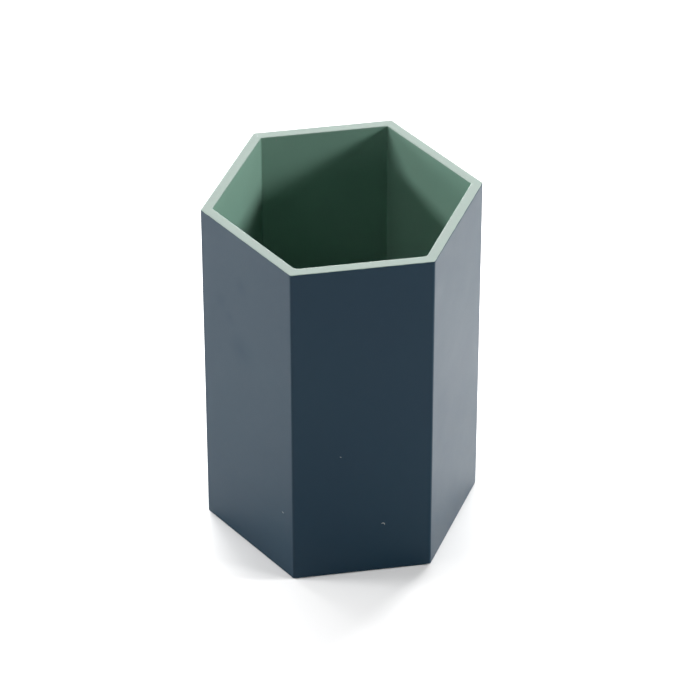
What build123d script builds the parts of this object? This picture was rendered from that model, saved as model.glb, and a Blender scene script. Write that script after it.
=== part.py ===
from build123d import *

import os
from math import cos, radians, sin

# A free-standing hexagonal pen pot, open at the top, lacquered in two colours.
#
# Six thin fibreboard walls meet at glued mitres. A groove near their feet holds the base panel's edge.
# One coat of lacquer covers the outer faces and the walls' feet. A second one covers the inner faces,
# the floor and the rim, and the two meet on the rim's outer arris. A felt pad is stuck into the recess
# under the base and stands slightly proud of the walls, so the pot rests on it.
#
# All lengths are in millimetres. The origin is the centre of the face that the pot rests on, with +Z up
# and the front wall facing -Y.

# Overall size, over the lacquer
ACROSS_FLATS = 70.0
HEIGHT = 110.0

# Thicknesses
PANEL = 2.5
LACQUER = 0.25
GLUE = 0.1
FELT = 2.0

# Fits
GROOVE_DEPTH = 1.0
FELT_PROUD = 0.2
FELT_CLEARANCE = 0.25

# Rounded edges, measured on the lacquer
CORNER_RADIUS = 0.8  # the outer upright edges
ARRIS_RADIUS = 0.3  # the outer edges round the rim and the feet
MOUTH_RADIUS = 0.3  # the rim's inner edge
FLOOR_RADIUS = 0.6  # where the inner faces meet the floor

# The inside corners by their direction, in degrees from +X. The lacquer has pooled in the front left one
# and, less so, in the front right one.
INSIDE_CORNER_RADII = {0: 0.4, 60: 0.4, 120: 0.4, 180: 0.4, 240: 2.2, 300: 1.2}

# The walls by the direction that each one faces, in degrees from +X
WALLS = {
    "wall_front": 270,
    "wall_front_right": 330,
    "wall_back_right": 30,
    "wall_back": 90,
    "wall_back_left": 150,
    "wall_front_left": 210,
}
HALF_WALL_ANGLE = 30

# Distances from the axis to flat faces
OUTSIDE = ACROSS_FLATS / 2
PANEL_OUTSIDE = OUTSIDE - LACQUER
PANEL_INSIDE = PANEL_OUTSIDE - PANEL
INSIDE = PANEL_INSIDE - LACQUER
BASE_EDGE = PANEL_INSIDE + GROOVE_DEPTH - GLUE
FELT_EDGE = PANEL_INSIDE - FELT_CLEARANCE

# Heights
PANEL_FOOT = FELT_PROUD + LACQUER
PANEL_TOP = HEIGHT - LACQUER
BASE_BOTTOM = FELT + GLUE
BASE_TOP = BASE_BOTTOM + PANEL
FLOOR = BASE_TOP + LACQUER


def point_at(direction, distance):
    """The point on the ground plane in that direction from the axis."""
    return Vector(cos(radians(direction)), sin(radians(direction))) * distance


def hexagon(flat_distance, corner_radius=0.0):
    """A hexagon whose front side faces -Y, with rounded corners if they have a radius."""
    outline = RegularPolygon(flat_distance, 6, major_radius=False)
    if corner_radius:
        outline = fillet(outline.vertices(), corner_radius)
    return outline


def prism(outline, bottom, top):
    """The upright solid with that outline between two heights."""
    return Pos(0, 0, bottom) * extrude(outline, top - bottom)


def edges_at(solid, height):
    """The edges of a solid that lie level at that height."""
    return solid.edges().filter_by_position(Axis.Z, height, height)


def bare_outer_shape():
    """The outer shape of the glued-up walls, before any lacquer."""
    return prism(hexagon(PANEL_OUTSIDE, CORNER_RADIUS - LACQUER), PANEL_FOOT, PANEL_TOP)


def lacquered_outer_shape():
    """The outer shape of the finished pot above its felt, with its arrises rounded at both ends."""
    solid = prism(hexagon(OUTSIDE, CORNER_RADIUS), FELT_PROUD, HEIGHT)
    return fillet(edges_at(solid, FELT_PROUD) + edges_at(solid, HEIGHT), ARRIS_RADIUS)


def bore_of_walls():
    """The space between the bare walls, through the pot's whole height."""
    return prism(hexagon(PANEL_INSIDE), 0, HEIGHT)


def groove():
    """The space that the base panel and the glue round its edge take up."""
    return prism(hexagon(BASE_EDGE + GLUE), BASE_BOTTOM - GLUE, BASE_TOP + GLUE)


def wall_ring():
    """The six walls as one ring, with the groove cut."""
    return bare_outer_shape() - bore_of_walls() - groove()


def mitre_slab(direction):
    """A thin upright slab from the axis out through the corner in that direction."""
    slab = extrude(Rectangle(2 * OUTSIDE, GLUE, align=(Align.MIN, Align.CENTER)), HEIGHT)
    return Rot(0, 0, direction) * slab


def wall_sector(direction):
    """The upright wedge from the axis to the wall that faces that way, between its two mitres."""
    rays = [direction - HALF_WALL_ANGLE, direction + HALF_WALL_ANGLE]
    corners = [point_at(ray, 2 * OUTSIDE) for ray in rays]
    return extrude(make_face(Polyline((0, 0), *corners, close=True)), HEIGHT)


def make_mitre_glue():
    """The six glue lines between neighbouring walls."""
    ring = wall_ring()
    return Compound([ring & mitre_slab(direction) for direction in INSIDE_CORNER_RADII])


def make_walls():
    """The six mitred walls, by name."""
    ring = wall_ring()
    for direction in INSIDE_CORNER_RADII:
        ring -= mitre_slab(direction)
    return {name: ring & wall_sector(direction) for name, direction in WALLS.items()}


def make_base_panel():
    """The board that closes the bottom, with its edge in the walls' groove."""
    return prism(hexagon(BASE_EDGE), BASE_BOTTOM, BASE_TOP)


def make_base_glue():
    """The glue between the base panel's edge and the groove."""
    return groove() - bore_of_walls() - make_base_panel()


def rim_film():
    """The space above the walls and the mouth, out to where the coats meet halfway round the arris."""
    foot = hexagon(PANEL_OUTSIDE, CORNER_RADIUS - LACQUER)
    spread = Pos(0, 0, PANEL_TOP) * extrude(foot, LACQUER, taper=-45)
    return spread & lacquered_outer_shape()


def make_exterior_lacquer():
    """The coat on the outer faces, round the outer arrises and across the walls' feet."""
    return lacquered_outer_shape() - bare_outer_shape() - bore_of_walls() - rim_film()


def pen_well():
    """The open space inside the finished pot."""
    outline = hexagon(INSIDE)
    for direction, radius in INSIDE_CORNER_RADII.items():
        corner = point_at(direction, INSIDE / cos(radians(HALF_WALL_ANGLE)))
        outline = fillet(outline.vertices().sort_by_distance(corner)[0], radius)
    well = prism(outline, FLOOR, HEIGHT)
    return fillet(edges_at(well, FLOOR), FLOOR_RADIUS)


def make_interior_lacquer():
    """The coat on the inner faces, the floor and the rim."""
    lining = prism(hexagon(PANEL_INSIDE), BASE_TOP, PANEL_TOP)
    coat = lining + rim_film() - pen_well()
    rim = coat.faces().sort_by(Axis.Z)[-1]
    return fillet(rim.inner_wires()[0].edges(), MOUTH_RADIUS)


def make_felt_pad():
    """The pad that the pot rests on."""
    return prism(hexagon(FELT_EDGE), 0, FELT)


def make_felt_adhesive():
    """The film that holds the felt pad to the base panel."""
    return prism(hexagon(FELT_EDGE), FELT, BASE_BOTTOM)


parts = make_walls()
parts["mitre_glue"] = make_mitre_glue()
parts["base_panel"] = make_base_panel()
parts["base_glue"] = make_base_glue()
parts["exterior_lacquer"] = make_exterior_lacquer()
parts["interior_lacquer"] = make_interior_lacquer()
parts["felt_pad"] = make_felt_pad()
parts["felt_adhesive"] = make_felt_adhesive()

os.makedirs("parts", exist_ok=True)
for node, shape in parts.items():
    export_step(shape, f"parts/{node}.step")
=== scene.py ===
"""Looks for a hexagonal pen pot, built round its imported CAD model.

Every size and place comes from the CAD nodes' boxes. The two coats of lacquer and the felt sole are made
again here as finer meshes in the same space, and the glued-up panels behind them get better materials.
Lengths are in metres, with +Z up and the front wall facing -Y.
"""

import math

import bpy
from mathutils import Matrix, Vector, noise


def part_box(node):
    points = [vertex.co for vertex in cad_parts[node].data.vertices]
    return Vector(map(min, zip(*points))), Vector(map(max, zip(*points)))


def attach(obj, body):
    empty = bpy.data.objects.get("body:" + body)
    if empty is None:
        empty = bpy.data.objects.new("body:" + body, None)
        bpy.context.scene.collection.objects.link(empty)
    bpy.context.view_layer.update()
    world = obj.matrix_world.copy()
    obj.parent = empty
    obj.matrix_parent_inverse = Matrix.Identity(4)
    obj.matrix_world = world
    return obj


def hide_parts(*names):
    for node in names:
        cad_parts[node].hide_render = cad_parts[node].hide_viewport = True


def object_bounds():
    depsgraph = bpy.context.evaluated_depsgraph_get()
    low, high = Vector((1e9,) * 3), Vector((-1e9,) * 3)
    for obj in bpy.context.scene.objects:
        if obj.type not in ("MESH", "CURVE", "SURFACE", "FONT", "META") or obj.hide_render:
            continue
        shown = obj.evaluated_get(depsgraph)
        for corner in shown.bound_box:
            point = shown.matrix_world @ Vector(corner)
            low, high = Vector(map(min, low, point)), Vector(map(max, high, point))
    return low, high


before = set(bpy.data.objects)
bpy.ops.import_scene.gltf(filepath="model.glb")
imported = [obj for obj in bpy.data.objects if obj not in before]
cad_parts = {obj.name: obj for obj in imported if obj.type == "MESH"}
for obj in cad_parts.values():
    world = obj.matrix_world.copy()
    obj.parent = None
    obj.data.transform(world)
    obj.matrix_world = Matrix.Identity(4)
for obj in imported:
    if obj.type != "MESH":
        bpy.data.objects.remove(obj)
cad_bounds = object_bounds()

MM = 0.001

# Distances from the axis to flat faces, and heights, from the CAD model
outer_low, outer_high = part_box("exterior_lacquer")
lining_low, lining_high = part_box("interior_lacquer")
panel_low, panel_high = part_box("wall_back")
felt_low, felt_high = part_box("felt_pad")
OUTSIDE = outer_high.y
PANEL_OUTSIDE = panel_high.y
PANEL_INSIDE = panel_low.y
PANEL_FOOT = panel_low.z
PANEL_TOP = panel_high.z
LACQUER = OUTSIDE - PANEL_OUTSIDE
INSIDE = PANEL_INSIDE - LACQUER
FOOT = outer_low.z
TOP = lining_high.z
BASE_TOP = lining_low.z
FLOOR = BASE_TOP + LACQUER
COLOUR_BREAK = lining_high.y
FELT_EDGE = felt_high.y
FELT_BOTTOM = felt_low.z
FELT_TOP = felt_high.z

# Rounded edges, as on the CAD model but crisper at the mouth; the colours meet halfway round the rim's
# outer arris
ARRIS = (OUTSIDE - COLOUR_BREAK) / (1 - math.cos(math.radians(45)))
CORNER = 0.8 * MM
MOUTH = 0.15 * MM
FLOOR_ROUND = 0.6 * MM
INSIDE_CORNERS = [0.4 * MM, 0.4 * MM, 0.4 * MM, 0.4 * MM, 2.2 * MM, 1.2 * MM]
SHARP = 0.05 * MM
FELT_ROUND = 0.3 * MM

# How far from true the sanded panels and the felt are, and noise cells to the metre
WALL_WAVE = 0.015 * MM
WALL_WAVE_SCALE = 30
FELT_RELIEF = 0.08 * MM
FELT_WANDER = 0.15 * MM
FELT_CUT_SCALE = 160
FELT_LUMP_SCALES = (700, 2400)

# How far the masking line wanders each way, in degrees round the arris, and noise cells to the metre
MASKING_WANDER = 18
MASKING_SCALE = 700

# Mesh density
ARC_STEPS = 8
SIDE_STEPS = 36
EDGE_STEPS = 6
RIM_STEPS = 5
HEIGHT_STEPS = 56
FLOOR_STEPS = 20

FLAT_TO_CORNER = 1 / math.cos(math.radians(30))


def direction(heading, elevation=0):
    """The unit vector that points that way, in degrees from +X and above the horizon."""
    turn = math.radians(heading)
    rise = math.radians(elevation)
    return Vector((math.cos(turn) * math.cos(rise), math.sin(turn) * math.cos(rise), math.sin(rise)))


def eased(steps):
    """Fractions from 0 to 1, closer together near both ends."""
    return [0.5 - 0.5 * math.cos(math.pi * i / steps) for i in range(steps + 1)]


def uneven(point):
    """The point moved by the slight waviness of a hand-sanded wall."""
    wave = WALL_WAVE * noise.noise(point * WALL_WAVE_SCALE) / OUTSIDE
    return Vector((point.x * (1 + wave), point.y * (1 + wave), point.z * (1 + 0.3 * wave)))


def hexagon_ring(flat, height, radii):
    """The points of one level ring: six rounded corners joined by straight sides."""
    arcs = []
    for corner, radius in enumerate(radii):
        heading = 60 * corner
        centre = direction(heading) * (flat - radius) * FLAT_TO_CORNER + Vector((0, 0, height))
        turns = [heading - 30 + 60 * step / ARC_STEPS for step in range(ARC_STEPS + 1)]
        arcs.append([centre + direction(turn) * radius for turn in turns])
    points = []
    for corner, arc in enumerate(arcs):
        start, end = arc[-1], arcs[(corner + 1) % 6][0]
        points += arc
        points += [start.lerp(end, t) for t in eased(SIDE_STEPS)[1:-1]]
    return points


def outer_ring(flat, height):
    """A ring whose corners are offset from the outer faces' corners."""
    return hexagon_ring(flat, height, [max(SHARP, CORNER + flat - OUTSIDE)] * 6)


def inner_ring(flat, height):
    """A ring whose corners are offset from the inner faces' corners."""
    return hexagon_ring(flat, height, [max(SHARP, radius + flat - INSIDE) for radius in INSIDE_CORNERS])


def round_edge(centre_flat, centre_height, radius, start, end):
    """Flat distances and heights round part of a rounded edge, between two angles."""
    turns = [math.radians(start + (end - start) * i / EDGE_STEPS) for i in range(EDGE_STEPS + 1)]
    return [(centre_flat + radius * math.cos(t), centre_height + radius * math.sin(t)) for t in turns]


def upright(flat, low, high):
    """Flat distances and heights up or down a wall, without its two ends."""
    return [(flat, low + (high - low) * t) for t in eased(HEIGHT_STEPS)[1:-1]]


def mesh_piece(name, vertices, faces):
    """A new object with that mesh, shaded smooth except across sharp turns."""
    mesh = bpy.data.meshes.new(name)
    mesh.from_pydata(vertices, [], faces)
    mesh.validate()
    for face in mesh.polygons:
        face.use_smooth = True
    mesh.set_sharp_from_angle(angle=math.radians(40))
    piece = bpy.data.objects.new(name, mesh)
    bpy.context.scene.collection.objects.link(piece)
    return piece


def bridge(first, second, count):
    """The quads between two rings of vertices that start at those indices."""
    faces = []
    for i in range(count):
        after = (i + 1) % count
        faces.append((first + i, first + after, second + after, second + i))
    return faces


def colour_break():
    """The ring where the two colours meet: a hand-masked line that wanders halfway round the arris."""
    low, high = [
        outer_ring(OUTSIDE - ARRIS + ARRIS * math.cos(turn), TOP - ARRIS + ARRIS * math.sin(turn))
        for turn in (math.radians(45 - MASKING_WANDER), math.radians(45 + MASKING_WANDER))
    ]
    return [a.lerp(b, 0.5 + 0.5 * noise.noise(a * MASKING_SCALE)) for a, b in zip(low, high)]


def exterior_coat():
    """The dark coat: outer faces, foot arrises, feet and half the rim's arris, as one closed shell."""
    profile = [(PANEL_INSIDE, FOOT)]
    profile += round_edge(OUTSIDE - ARRIS, FOOT + ARRIS, ARRIS, -90, 0)
    profile += upright(OUTSIDE, FOOT + ARRIS, TOP - ARRIS)
    profile += round_edge(OUTSIDE - ARRIS, TOP - ARRIS, ARRIS, 0, 45 - MASKING_WANDER)
    core = [(PANEL_OUTSIDE, PANEL_TOP), (PANEL_OUTSIDE, PANEL_FOOT), (PANEL_INSIDE, PANEL_FOOT)]
    rings = [outer_ring(*step) for step in profile]
    rings.append(colour_break())
    rings += [outer_ring(*step) for step in core]
    count = len(rings[0])
    vertices = [uneven(point) for ring in rings for point in ring]
    faces = []
    for i in range(len(rings)):
        faces += bridge(i * count, (i + 1) % len(rings) * count, count)
    return mesh_piece("exterior_coat", vertices, faces)


def rim_rings():
    """Rings across the flat of the rim, from the outer faces' corners to the inner faces' corners."""
    outer = outer_ring(OUTSIDE - ARRIS, TOP)
    inner = inner_ring(INSIDE + MOUTH, TOP)
    steps = [i / RIM_STEPS for i in range(1, RIM_STEPS)]
    return [[a.lerp(b, t) for a, b in zip(outer, inner)] for t in steps]


def interior_coat():
    """The mint coat: half the rim's arris, the rim, inner faces and floor, as one closed shell."""
    rings = [colour_break()]
    arris = round_edge(OUTSIDE - ARRIS, TOP - ARRIS, ARRIS, 45 + MASKING_WANDER, 90)
    rings += [outer_ring(*step) for step in arris]
    rings += rim_rings()
    profile = round_edge(INSIDE + MOUTH, TOP - MOUTH, MOUTH, 90, 180)
    profile += upright(INSIDE, TOP - MOUTH, FLOOR + FLOOR_ROUND)
    profile += round_edge(INSIDE - FLOOR_ROUND, FLOOR + FLOOR_ROUND, FLOOR_ROUND, 0, -90)
    profile += [((INSIDE - FLOOR_ROUND) * (1 - i / FLOOR_STEPS), FLOOR) for i in range(1, FLOOR_STEPS)]
    rings += [inner_ring(*step) for step in profile]
    back = [(PANEL_INSIDE * i / FLOOR_STEPS, BASE_TOP) for i in range(1, FLOOR_STEPS + 1)]
    back += [(PANEL_INSIDE, PANEL_TOP), (PANEL_OUTSIDE, PANEL_TOP)]
    front_count = len(rings)
    rings += [outer_ring(*step) for step in back]
    count = len(rings[0])
    vertices = [uneven(point) for ring in rings for point in ring]
    faces = []
    for i in range(len(rings)):
        if i != front_count - 1:
            faces += bridge(i * count, (i + 1) % len(rings) * count, count)
    front_centre, back_centre = len(vertices), len(vertices) + 1
    vertices += [Vector((0, 0, FLOOR)), Vector((0, 0, BASE_TOP))]
    last_front = (front_count - 1) * count
    first_back = front_count * count
    for i in range(count):
        after = (i + 1) % count
        faces.append((last_front + i, last_front + after, front_centre))
        faces.append((first_back + after, first_back + i, back_centre))
    return mesh_piece("interior_coat", vertices, faces)


def felted(point):
    """A point of the sole, with the felt's lumpy faces and its hand-cut outline."""
    outline = noise.noise(Vector((point.x, point.y, 0)) * FELT_CUT_SCALE)
    cut = 1 - FELT_WANDER * (0.5 + 0.5 * outline) / FELT_EDGE
    coarse, fine = [noise.noise(point * scale) for scale in FELT_LUMP_SCALES]
    lump = 0.6 * coarse + 0.4 * fine
    middle = (FELT_BOTTOM + FELT_TOP) / 2
    sink = FELT_RELIEF * (0.5 + 0.5 * lump) * (1 if point.z < middle else 0)
    return Vector((point.x * cut, point.y * cut, point.z + sink))


def felt_sole():
    """The felt sheet under the base, as one closed cushion with soft edges."""
    steps = 3 * FLOOR_STEPS
    face = [(FELT_EDGE - FELT_ROUND) * i / steps for i in range(1, steps)]
    profile = [(flat, FELT_BOTTOM) for flat in face]
    profile += round_edge(FELT_EDGE - FELT_ROUND, FELT_BOTTOM + FELT_ROUND, FELT_ROUND, -90, 0)
    profile += round_edge(FELT_EDGE - FELT_ROUND, FELT_TOP - FELT_ROUND, FELT_ROUND, 0, 90)
    profile += [(flat, FELT_TOP) for flat in reversed(face)]
    rings = [hexagon_ring(flat, height, [FELT_ROUND] * 6) for flat, height in profile]
    count = len(rings[0])
    vertices = [felted(point) for ring in rings for point in ring]
    faces = []
    for i in range(len(rings) - 1):
        faces += bridge(i * count, (i + 1) * count, count)
    bottom, top = len(vertices), len(vertices) + 1
    vertices += [felted(Vector((0, 0, FELT_BOTTOM))), Vector((0, 0, FELT_TOP))]
    last = (len(rings) - 1) * count
    for i in range(count):
        after = (i + 1) % count
        faces.append((after, i, bottom))
        faces.append((last + i, last + after, top))
    return mesh_piece("felt_sole", vertices, faces)


# Materials


def new_material(name):
    """A node material, with its Principled shader and its object coordinates."""
    material = bpy.data.materials.new(name)
    material.use_nodes = True
    shader = material.node_tree.nodes["Principled BSDF"]
    coordinates = material.node_tree.nodes.new("ShaderNodeTexCoord").outputs["Object"]
    return material, shader, coordinates


def noise_of(material, coordinates, scale, detail=2.0, rough=0.5, warp=0.0):
    """Procedural noise with about that many cells to the metre, warped to curl it."""
    node = material.node_tree.nodes.new("ShaderNodeTexNoise")
    node.inputs["Distortion"].default_value = warp
    node.inputs["Scale"].default_value = scale
    node.inputs["Detail"].default_value = detail
    node.inputs["Roughness"].default_value = rough
    material.node_tree.links.new(coordinates, node.inputs["Vector"])
    return node.outputs["Fac"]


def stretched(material, coordinates, scale, turn=0):
    """The coordinates turned about Z and scaled along each axis, so that a noise on them has a grain."""
    node = material.node_tree.nodes.new("ShaderNodeMapping")
    node.inputs["Scale"].default_value = scale
    node.inputs["Rotation"].default_value[2] = math.radians(turn)
    material.node_tree.links.new(coordinates, node.inputs["Vector"])
    return node.outputs["Vector"]


def ramp_of(material, value, stops):
    """A colour ramp over a value: a list of (position, colour)."""
    node = material.node_tree.nodes.new("ShaderNodeValToRGB")
    elements = node.color_ramp.elements
    while len(elements) < len(stops):
        elements.new(0.5)
    for element, (position, colour) in zip(elements, stops):
        element.position = position
        element.color = (*colour, 1)
    material.node_tree.links.new(value, node.inputs["Fac"])
    return node.outputs["Color"]


def span_of(material, value, low, high, out_low, out_high):
    """A value rescaled from one span to another, and held inside it."""
    node = material.node_tree.nodes.new("ShaderNodeMapRange")
    for socket, number in zip(("From Min", "From Max", "To Min", "To Max"), (low, high, out_low, out_high)):
        node.inputs[socket].default_value = number
    material.node_tree.links.new(value, node.inputs["Value"])
    return node.outputs["Result"]


def math_of(material, operation, first, second):
    """Arithmetic on two values that vary over the surface."""
    node = material.node_tree.nodes.new("ShaderNodeMath")
    node.operation = operation
    material.node_tree.links.new(first, node.inputs[0])
    material.node_tree.links.new(second, node.inputs[1])
    return node.outputs["Value"]


def spot_of(material, coordinates, centre, radius, edge):
    """1 within that radius of a point, fading to 0 over the width of the edge."""
    node = material.node_tree.nodes.new("ShaderNodeVectorMath")
    node.operation = "DISTANCE"
    node.inputs[1].default_value = centre
    material.node_tree.links.new(coordinates, node.inputs[0])
    return span_of(material, node.outputs["Value"], radius, radius + edge, 1, 0)


def blend_of(material, factor, first, second):
    """One colour changing to another plain colour where the factor is 1."""
    node = material.node_tree.nodes.new("ShaderNodeMix")
    node.data_type = "RGBA"
    node.inputs["B"].default_value = (*second, 1)
    material.node_tree.links.new(factor, node.inputs["Factor"])
    material.node_tree.links.new(first, node.inputs["A"])
    return node.outputs["Result"]


def bump_of(material, height, distance, normal=None):
    """A bump of that real height."""
    node = material.node_tree.nodes.new("ShaderNodeBump")
    node.inputs["Distance"].default_value = distance
    material.node_tree.links.new(height, node.inputs["Height"])
    if normal is not None:
        material.node_tree.links.new(normal, node.inputs["Normal"])
    return node.outputs["Normal"]


def nick_of(material, coordinates, centre, size, lean):
    """A small crescent-shaped chip: a disc less a second disc that is set off to one side."""
    edge = 0.25 * size
    disc = spot_of(material, coordinates, centre, size, edge)
    cut = spot_of(material, coordinates, centre + lean * size * 0.7, size, edge)
    return math_of(material, "SUBTRACT", disc, cut)


def most_of(material, values):
    """The greatest of several values."""
    most = values[0]
    for value in values[1:]:
        most = math_of(material, "MAXIMUM", most, value)
    return most


def painted_sheen_of(material, coordinates, low, high):
    """How much of the painted sheen tint the coat gets: none below one height, and unevenly above another.
    """
    split = material.node_tree.nodes.new("ShaderNodeSeparateXYZ")
    material.node_tree.links.new(coordinates, split.inputs["Vector"])
    raised = span_of(material, split.outputs["Z"], low, high, 0, 1)
    patchy = span_of(material, noise_of(material, coordinates, 150, 4, 0.6), 0.3, 0.7, 0.8, 1)
    return math_of(material, "MULTIPLY", raised, patchy)


def lacquer(name, colours, roughness, specular, nicks, chip, smudges=(), painted_sheen=None):
    """Sprayed satin lacquer: faint orange peel, slightly uneven colour and gloss, small chips and marks.

    nicks are (place, size, lean), chip is the colour that shows in them, smudges are (place, radius), and
    the last argument is the (colour, low, high) of painted sheen: a greyer tint blended in between two
    heights.
    """
    material, shader, coordinates = new_material(name)
    links = material.node_tree.links
    clouds = noise_of(material, coordinates, 28, 3)
    colour = ramp_of(material, clouds, [(0.3, colours[0]), (0.7, colours[1])])
    # Painted sheen: near the top the colour is blended to a greyer tint that stands in for the sheen the rim
    # catches
    if painted_sheen:
        sheen_tint, low, high = painted_sheen
        colour = blend_of(material, painted_sheen_of(material, coordinates, low, high), colour, sheen_tint)
    chips = most_of(material, [nick_of(material, coordinates, *nick) for nick in nicks])
    links.new(blend_of(material, chips, colour, chip), shader.inputs["Base Color"])

    handling = noise_of(material, coordinates, 90, 5, 0.6)
    gloss = span_of(material, handling, 0.3, 0.7, roughness - 0.012, roughness + 0.012)
    if smudges:
        marks = [spot_of(material, coordinates, place, 0, radius) for place, radius in smudges]
        cloudy = math_of(material, "MULTIPLY", most_of(material, marks), handling)
        gloss = math_of(material, "ADD", gloss, span_of(material, cloudy, 0, 1, 0, 0.15))
    links.new(gloss, shader.inputs["Roughness"])

    peel = bump_of(material, noise_of(material, coordinates, 900, 2), 0.003 * MM)
    sunk = span_of(material, chips, 0, 1, 1, 0)
    links.new(bump_of(material, sunk, 0.06 * MM, peel), shader.inputs["Normal"])
    shader.inputs["Specular IOR Level"].default_value = specular
    return material


def felt():
    """Pressed felt: matted fibres, a few lighter hairs and a soft sheen."""
    material, shader, coordinates = new_material("pressed_felt")
    links = material.node_tree.links
    tangle = noise_of(material, coordinates, 1500, 6, 0.7)
    hairs = []
    for turn in range(0, 180, 36):
        grain = stretched(material, coordinates, (260, 2400, 900), turn)
        hairs.append(noise_of(material, grain, 1, 3, 0.6, warp=1.5))
    matted = math_of(material, "MULTIPLY", tangle, most_of(material, hairs))
    stops = [(0.22, (0.008, 0.008, 0.009)), (0.36, (0.02, 0.02, 0.022)), (0.52, (0.07, 0.07, 0.075))]
    links.new(ramp_of(material, matted, stops), shader.inputs["Base Color"])
    links.new(span_of(material, tangle, 0.3, 0.7, 0.85, 1), shader.inputs["Roughness"])
    links.new(bump_of(material, matted, 0.25 * MM), shader.inputs["Normal"])
    shader.inputs["Sheen Weight"].default_value = 0.35
    shader.inputs["Sheen Roughness"].default_value = 0.5
    shader.inputs["Specular IOR Level"].default_value = 0.2
    return material


def fibreboard():
    """Bare fibreboard: fine pale and dark fibres in warm brown."""
    material, shader, coordinates = new_material("bare_fibreboard")
    links = material.node_tree.links
    specks = noise_of(material, coordinates, 1800, 5, 0.7)
    grain = noise_of(material, stretched(material, coordinates, (250, 250, 1400)), 1, 4, 0.6)
    matted = math_of(material, "MULTIPLY", specks, grain)
    stops = [(0.12, (0.25, 0.15, 0.08)), (0.25, (0.42, 0.28, 0.16)), (0.4, (0.56, 0.42, 0.27))]
    links.new(ramp_of(material, matted, stops), shader.inputs["Base Color"])
    links.new(span_of(material, specks, 0.3, 0.7, 0.7, 0.9), shader.inputs["Roughness"])
    links.new(bump_of(material, specks, 0.05 * MM), shader.inputs["Normal"])
    return material


def glue():
    """Dried wood glue: amber, cloudy and slightly rippled."""
    material, shader, coordinates = new_material("dried_glue")
    links = material.node_tree.links
    clouds = noise_of(material, coordinates, 220, 4, 0.6)
    stops = [(0.35, (0.62, 0.5, 0.28)), (0.65, (0.8, 0.74, 0.56))]
    links.new(ramp_of(material, clouds, stops), shader.inputs["Base Color"])
    links.new(span_of(material, clouds, 0.3, 0.7, 0.2, 0.35), shader.inputs["Roughness"])
    links.new(bump_of(material, noise_of(material, coordinates, 500, 3), 0.03 * MM), shader.inputs["Normal"])
    return material


def put(piece, material):
    """Gives the piece that one material."""
    piece.data.materials.clear()
    piece.data.materials.append(material)


def on_wall(heading, along, height, flat=OUTSIDE):
    """A point on the wall that faces that way, a distance to the side of its middle."""
    return direction(heading) * flat + direction(heading + 90) * along * MM + Vector((0, 0, height * MM))


# Pieces

FRONT, FRONT_LEFT, BACK = 270, 210, 90
sideways = direction(0)
steep = direction(0, 60)
dark_nicks = [
    (on_wall(FRONT, 6.1, 17.4), 0.5 * MM, -steep),
    (on_wall(FRONT, -6.2, 44.1), 0.25 * MM, steep),
    (on_wall(FRONT_LEFT, 15.6, 22.6), 0.35 * MM, steep),
]
pale_nicks = [
    (Vector((-19.1 * MM, 33.1 * MM, TOP)), 0.3 * MM, sideways),
    (on_wall(BACK, 14.1, 108.8, INSIDE), 0.3 * MM, -sideways),
]
dark_smudges = [
    (on_wall(FRONT_LEFT, -2.1, 93.3), 4.0 * MM),
    (on_wall(FRONT_LEFT, -2.2, 70.6), 7.0 * MM),
    (on_wall(FRONT_LEFT, -11.0, 83.6), 4.0 * MM),
    (on_wall(FRONT_LEFT, -7.5, 79.3), 3.0 * MM),
    (on_wall(FRONT, -10.6, 90.2), 3.0 * MM),
]

NAVY = [(0.001, 0.0175, 0.035), (0.001, 0.019, 0.036)]
MINT = [(0.135, 0.235, 0.19), (0.15, 0.25, 0.2)]
# Painted sheen: a greyer mint for the top of the rim, in place of the sheen that the rim catches
PAINTED_SHEEN_MINT = (0.15, 0.19, 0.17)
UNDERCOAT = (0.2, 0.22, 0.22)
navy = lacquer("navy_satin", NAVY, 0.38, 0.16, dark_nicks, UNDERCOAT, dark_smudges)
rim = (PAINTED_SHEEN_MINT, TOP - MOUTH, TOP - 0.3 * MOUTH)
mint = lacquer("mint_satin", MINT, 0.4, 0.35, pale_nicks, UNDERCOAT, painted_sheen=rim)

coat = exterior_coat()
put(coat, navy)
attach(coat, "root")
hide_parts("exterior_lacquer")

lining = interior_coat()
put(lining, mint)
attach(lining, "root")
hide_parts("interior_lacquer")

sole = felt_sole()
put(sole, felt())
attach(sole, "root")
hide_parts("felt_pad")

board = fibreboard()
adhesive = glue()
for name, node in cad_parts.items():
    if name.startswith("wall_") or name == "base_panel":
        put(node, board)
    elif name in ("mitre_glue", "base_glue", "felt_adhesive"):
        put(node, adhesive)

# Stage

FLOOR_SIZE = 8
FLOOR_COLOUR = (0.85, 0.85, 0.85)
FLOOR_ROUGHNESS = 0.1
LAMP_DISTANCE = 1
WORLD_STRENGTH = 0.6

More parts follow.
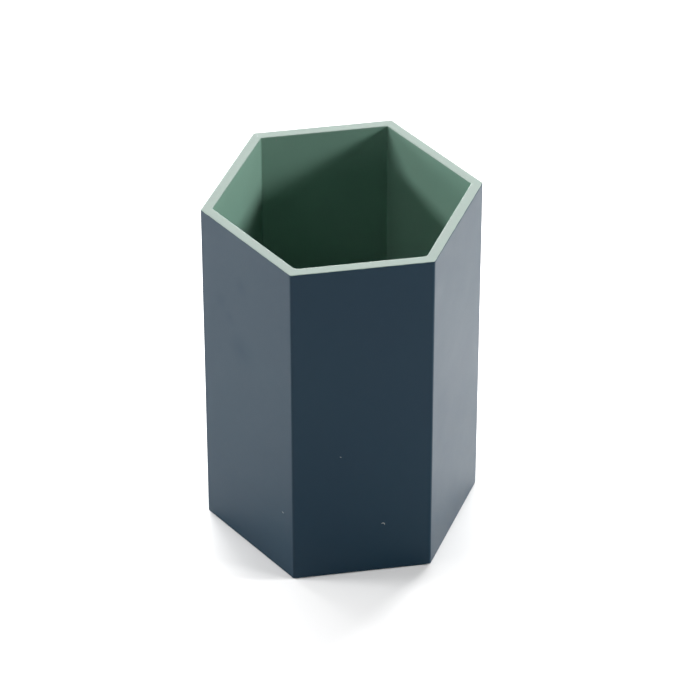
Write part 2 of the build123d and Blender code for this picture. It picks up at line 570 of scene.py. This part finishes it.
floor_material, floor_shader, _ = new_material("studio_floor")
floor_shader.inputs["Base Color"].default_value = (*FLOOR_COLOUR, 1)
floor_shader.inputs["Roughness"].default_value = FLOOR_ROUGHNESS
bpy.ops.mesh.primitive_plane_add(size=FLOOR_SIZE)
floor = bpy.context.object
floor.name = "studio_floor"
put(floor, floor_material)

# Lights: name, direction in degrees from +X, elevation in degrees, width, height, power
LIGHTS = [
    ("low_back", 110, 8, 0.9, 0.25, 20),
    ("low_back_left", 136, 8, 0.9, 0.25, 8),
    ("low_back_right", 64, 8, 0.9, 0.25, 15),
    ("low_front", -100, 10, 0.9, 0.25, 1),
    ("high_back", 90, 60, 0.4, 0.25, 7),
    ("high_back_right", 50, 38, 0.4, 0.25, 6),
    ("high_left", 180, 60, 0.4, 0.25, 2.5),
    ("left", 170, 21, 0.2, 0.1, 6.8),
    ("right", -11, 24, 0.2, 0.2, 7.5),
    ("front_right", -30, 20, 0.2, 0.1, 4.2),
]
centre = (cad_bounds[0] + cad_bounds[1]) / 2

for name, heading, elevation, width, height, power in LIGHTS:
    data = bpy.data.lights.new(name, "AREA")
    data.shape = "RECTANGLE"
    data.size = width
    data.size_y = height
    data.energy = power
    light = bpy.data.objects.new(name, data)
    bpy.context.scene.collection.objects.link(light)
    away = direction(heading, elevation)
    light.location = centre + away * LAMP_DISTANCE
    light.rotation_euler = away.to_track_quat("Z", "Y").to_euler()

world = bpy.data.worlds.new("studio")
bpy.context.scene.world = world
world.use_nodes = True
world.node_tree.nodes["Background"].inputs["Color"].default_value = (1, 1, 1, 1)
world.node_tree.nodes["Background"].inputs["Strength"].default_value = WORLD_STRENGTH
world.cycles_visibility.diffuse = False

# Camera
CAMERA_HEADING = -90 - 9.404
CAMERA_ELEVATION = 37.714
CAMERA_DISTANCE = 1.197
LENS = 212.3
AIM = centre + Vector((2.16, -0.31, 0.06)) * MM

camera_data = bpy.data.cameras.new("camera")
camera_data.lens = LENS
camera_data.sensor_width = 36
camera = bpy.data.objects.new("camera", camera_data)
bpy.context.scene.collection.objects.link(camera)
back = direction(CAMERA_HEADING, CAMERA_ELEVATION)
camera.location = AIM + back * CAMERA_DISTANCE
camera.rotation_euler = back.to_track_quat("Z", "Y").to_euler()
bpy.context.scene.camera = camera
bpy.context.scene.view_settings.view_transform = "Standard"
